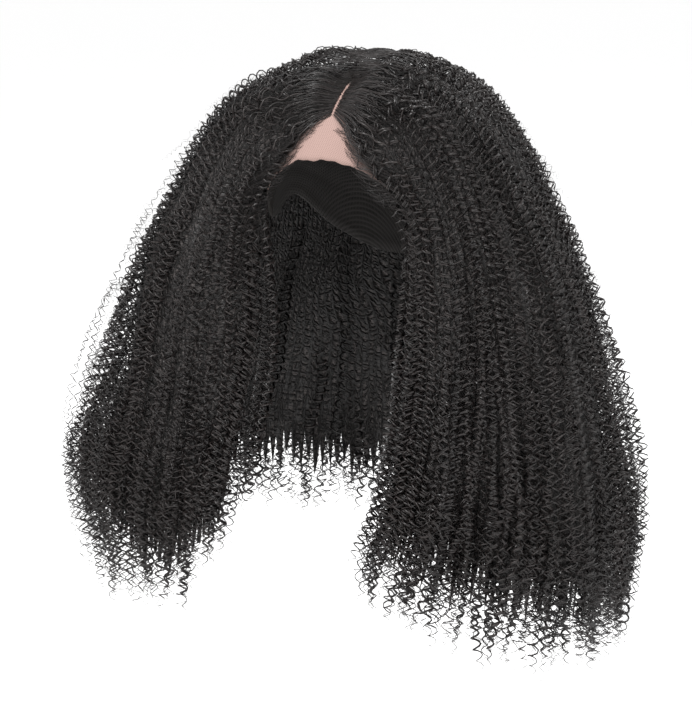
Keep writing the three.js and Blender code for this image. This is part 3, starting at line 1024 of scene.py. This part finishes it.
class Look:
    """A material, with short calls that add nodes to it."""

    def __init__(self, name):
        self.material = bpy.data.materials.new(name)
        self.material.use_nodes = True
        self.nodes = self.material.node_tree.nodes
        self.links = self.material.node_tree.links
        self.shader = self.nodes["Principled BSDF"]

    def place(self, uv_map):
        node = self.nodes.new("ShaderNodeUVMap")
        node.uv_map = uv_map
        return node.outputs["UV"]

    def split(self, vector):
        node = self.nodes.new("ShaderNodeSeparateXYZ")
        self.links.new(vector, node.inputs["Vector"])
        return node.outputs["X"], node.outputs["Y"]

    def mapped(self, vector, name, value):
        """A vector through a mapping node with one of its inputs set."""
        node = self.nodes.new("ShaderNodeMapping")
        node.inputs[name].default_value = value
        self.links.new(vector, node.inputs["Vector"])
        return node.outputs["Vector"]

    def work(self, operation, *values):
        """A math node whose inputs are numbers or other nodes' outputs."""
        node = self.nodes.new("ShaderNodeMath")
        node.operation = operation
        for socket, value in zip(node.inputs, values):
            if isinstance(value, (int, float)):
                socket.default_value = value
            else:
                self.links.new(value, socket)
        return node.outputs["Value"]

    def zigzag(self, value):
        """A wave of straight lines from 0 to 1 and back, once for each whole number."""
        return self.work("MULTIPLY", self.work("PINGPONG", value, 1 / 2), 2)

    def noise(self, vector, scale):
        node = self.nodes.new("ShaderNodeTexNoise")
        node.inputs["Scale"].default_value = scale
        node.inputs["Detail"].default_value = NOISE_DETAIL
        self.links.new(vector, node.inputs["Vector"])
        return node.outputs["Fac"]

    def chance(self, value):
        """A random value for each whole number."""
        node = self.nodes.new("ShaderNodeTexWhiteNoise")
        node.noise_dimensions = "1D"
        self.links.new(self.work("FLOOR", value), node.inputs["W"])
        return node.outputs["Value"]

    def stripes(self, vector, pitch):
        node = self.nodes.new("ShaderNodeTexWave")
        node.inputs["Scale"].default_value = TURN / WAVE_RADIANS / pitch
        node.inputs["Distortion"].default_value = 0
        self.links.new(vector, node.inputs["Vector"])
        return node.outputs["Fac"]

    def net(self, pitch):
        """Height of a diagonal net on the map in millimetres."""
        place = self.place("weave")
        threads = []
        for turn in THREAD_TURNS:
            turned = self.mapped(place, "Rotation", (0, 0, math.radians(turn)))
            threads.append(self.stripes(turned, pitch))
        return self.work("MAXIMUM", *threads)

    def tint(self, value, look):
        """A colour between the look's dark and light ones."""
        node = self.nodes.new("ShaderNodeValToRGB")
        elements = node.color_ramp.elements
        for element, place, colour in zip(elements, look["spread"], (look["dark"], look["light"])):
            element.position = place
            element.color = (*colour, 1)
        self.links.new(value, node.inputs["Fac"])
        return node.outputs["Color"]

    def bump(self, height, look):
        node = self.nodes.new("ShaderNodeBump")
        node.inputs["Strength"].default_value = look["bump"]
        node.inputs["Distance"].default_value = look["depth"]
        self.links.new(height, node.inputs["Height"])
        self.links.new(node.outputs["Normal"], self.shader.inputs["Normal"])

    def finished(self, colour, look):
        """The material, with its colour and its shine."""
        self.links.new(colour, self.shader.inputs["Base Color"])
        self.shader.inputs["Roughness"].default_value = look["roughness"]
        self.shader.inputs["Specular IOR Level"].default_value = look["gloss"]
        return self.material


def hair_material():
    """Off-black hair: each strand has its own tint, with fine streaks along it."""
    look = Look(HAIR_LOOK["name"])
    place = look.place("fibre")
    x, _ = look.split(place)
    streak = look.noise(look.mapped(place, "Scale", STREAK_STRETCH), 1)
    streak = look.work("MULTIPLY", streak, STREAK_SHARE)
    mixed = look.work("MULTIPLY_ADD", look.chance(x), STRAND_SHARE, streak)
    return look.finished(look.tint(mixed, HAIR_LOOK), HAIR_LOOK)


def under_hair_material():
    """The dense hair between the ringlets: columns of stacked curls, with fine hairs across them. Its colour
    is a painted highlight on each curl's crest and the fine hairs, over the hair's near-black.
    """
    look = Look(UNDER_LOOK["name"])
    work = look.work
    place = look.place("fibre")
    x, y = look.split(place)
    speckle = look.noise(place, SPECKLE_SCALE)

    across = work("DIVIDE", x, RINGLET_WIDTH)
    within = work("FRACT", across)
    chance = look.chance(across)
    slant = work("MULTIPLY", work("SUBTRACT", chance, 1 / 2), COLUMN_SLANT)
    turn = work("MULTIPLY_ADD", chance, COLUMN_SHIFT, work("DIVIDE", y, RINGLET_PITCH))
    turn = work("MULTIPLY_ADD", within, slant, turn)
    turn = work("MULTIPLY_ADD", look.noise(place, WANDER_SCALE), TURN_WANDER, turn)

    body = work("SINE", work("MULTIPLY", within, math.pi))
    ridge = work("MULTIPLY", look.zigzag(turn), body)
    lines = look.zigzag(work("MULTIPLY_ADD", turn, HAIR_LINES, work("MULTIPLY", speckle, LINE_WANDER)))
    # A faint painted sheen along the fine hairs
    fuzz_sheen = work("MULTIPLY", lines, work("MULTIPLY", speckle, FUZZ_SHEEN))
    # The painted highlight: brightest on the crest of each turn in the middle of a column and along the fine
    # hairs, broken into speckles
    lit = work("MULTIPLY_ADD", lines, LINE_SHARE, 1 - LINE_SHARE)
    painted_shine = work("MULTIPLY", work("POWER", ridge, PAINTED_SHINE_POWER), lit)
    painted_shine = work("MULTIPLY", painted_shine, work("MULTIPLY", speckle, PAINTED_SHINE_SPECKLE))
    painted_shine = work("MAXIMUM", painted_shine, fuzz_sheen)
    look.bump(work("MULTIPLY_ADD", painted_shine, PAINTED_SHINE_RISE, ridge), UNDER_LOOK)
    # The base colour runs from the hair's near-black to the painted highlight
    return look.finished(look.tint(painted_shine, UNDER_LOOK), UNDER_LOOK)


def lace_material():
    """Beige net, which darkens where it is knotted with hair."""
    look = Look(LACE_LOOK["name"])
    net = look.net(LACE_LOOK["pitch"])
    knots = look.nodes.new("ShaderNodeAttribute")
    knots.attribute_name = "knots"
    rooted = look.nodes.new("ShaderNodeMix")
    rooted.data_type = "RGBA"
    rooted.inputs["B"].default_value = (*KNOT_TINT, 1)
    look.links.new(knots.outputs["Fac"], rooted.inputs["Factor"])
    look.links.new(look.tint(net, LACE_LOOK), rooted.inputs["A"])
    look.bump(net, LACE_LOOK)
    return look.finished(rooted.outputs["Result"], LACE_LOOK)


def cap_material():
    """Black stretch net."""
    look = Look(CAP_LOOK["name"])
    net = look.net(CAP_LOOK["pitch"])
    look.bump(net, CAP_LOOK)
    return look.finished(look.tint(net, CAP_LOOK), CAP_LOOK)


# Camera, floor and light

def make_camera():
    """A camera at the photograph's angle, which puts the origin on its pixel."""
    azimuth = math.radians(CAMERA_AZIMUTH)
    elevation = math.radians(CAMERA_ELEVATION)
    forward = Vector((
        -math.sin(azimuth) * math.cos(elevation),
        math.cos(azimuth) * math.cos(elevation),
        -math.sin(elevation),
    ))
    right = Vector((math.cos(azimuth), math.sin(azimuth), 0))
    up = right.cross(forward)
    aim = right * ((IMAGE_SIZE[0] / 2 - ORIGIN_PIXEL[0]) * PIXEL)
    aim += up * ((ORIGIN_PIXEL[1] - IMAGE_SIZE[1] / 2) * PIXEL)
    place = forward * -CAMERA_DISTANCE
    data = bpy.data.cameras.new("camera")
    data.sensor_fit = "VERTICAL"
    data.sensor_height = SENSOR
    data.lens = SENSOR * (aim - place).length / (IMAGE_SIZE[1] * PIXEL)
    camera = add_object("camera", data)
    camera.location = place
    camera.rotation_euler = (aim - place).to_track_quat("-Z", "Y").to_euler()
    bpy.context.scene.camera = camera


def make_floor():
    """A plain pale floor."""
    mesh = bpy.data.meshes.new("floor")
    level = cad_box[0][2] - FLOOR_DROP
    corners = ((-1, -1), (1, -1), (1, 1), (-1, 1))
    mesh.from_pydata([(x * FLOOR_REACH, y * FLOOR_REACH, level) for x, y in corners], [], [(0, 1, 2, 3)])
    look = Look("floor_white")
    look.shader.inputs["Base Color"].default_value = (*FLOOR_TINT, 1)
    look.shader.inputs["Roughness"].default_value = FLOOR_ROUGHNESS
    mesh.materials.append(look.material)
    add_object("floor", mesh)


def make_light(light):
    data = bpy.data.lights.new(light["name"], "AREA")
    data.size = light["size"]
    data.energy = light["power"]
    obj = add_object(light["name"], data)
    obj.location = light["place"]
    obj.rotation_euler = (Vector(LIGHT_AIM) - obj.location).to_track_quat("-Z", "Y").to_euler()


def make_studio():
    """White surroundings and soft lights."""
    world = bpy.data.worlds.new("studio")
    world.use_nodes = True
    background = world.node_tree.nodes["Background"]
    background.inputs["Color"].default_value = (1, 1, 1, 1)
    background.inputs["Strength"].default_value = 1
    bpy.context.scene.world = world
    bpy.context.scene.view_settings.view_transform = "Standard"
    for light in LIGHTS:
        make_light(light)


make_camera()
make_floor()
make_studio()
spaces = [make_space(side) for side in SIDES]
for piece, material in zip(DOME_PIECES, (lace_material(), cap_material())):
    make_dome_piece(piece, material, spaces[0])
hair_looks = (hair_material(), under_hair_material())
for side, space in zip(SIDES, spaces):
    make_hair(side, space, hair_looks)
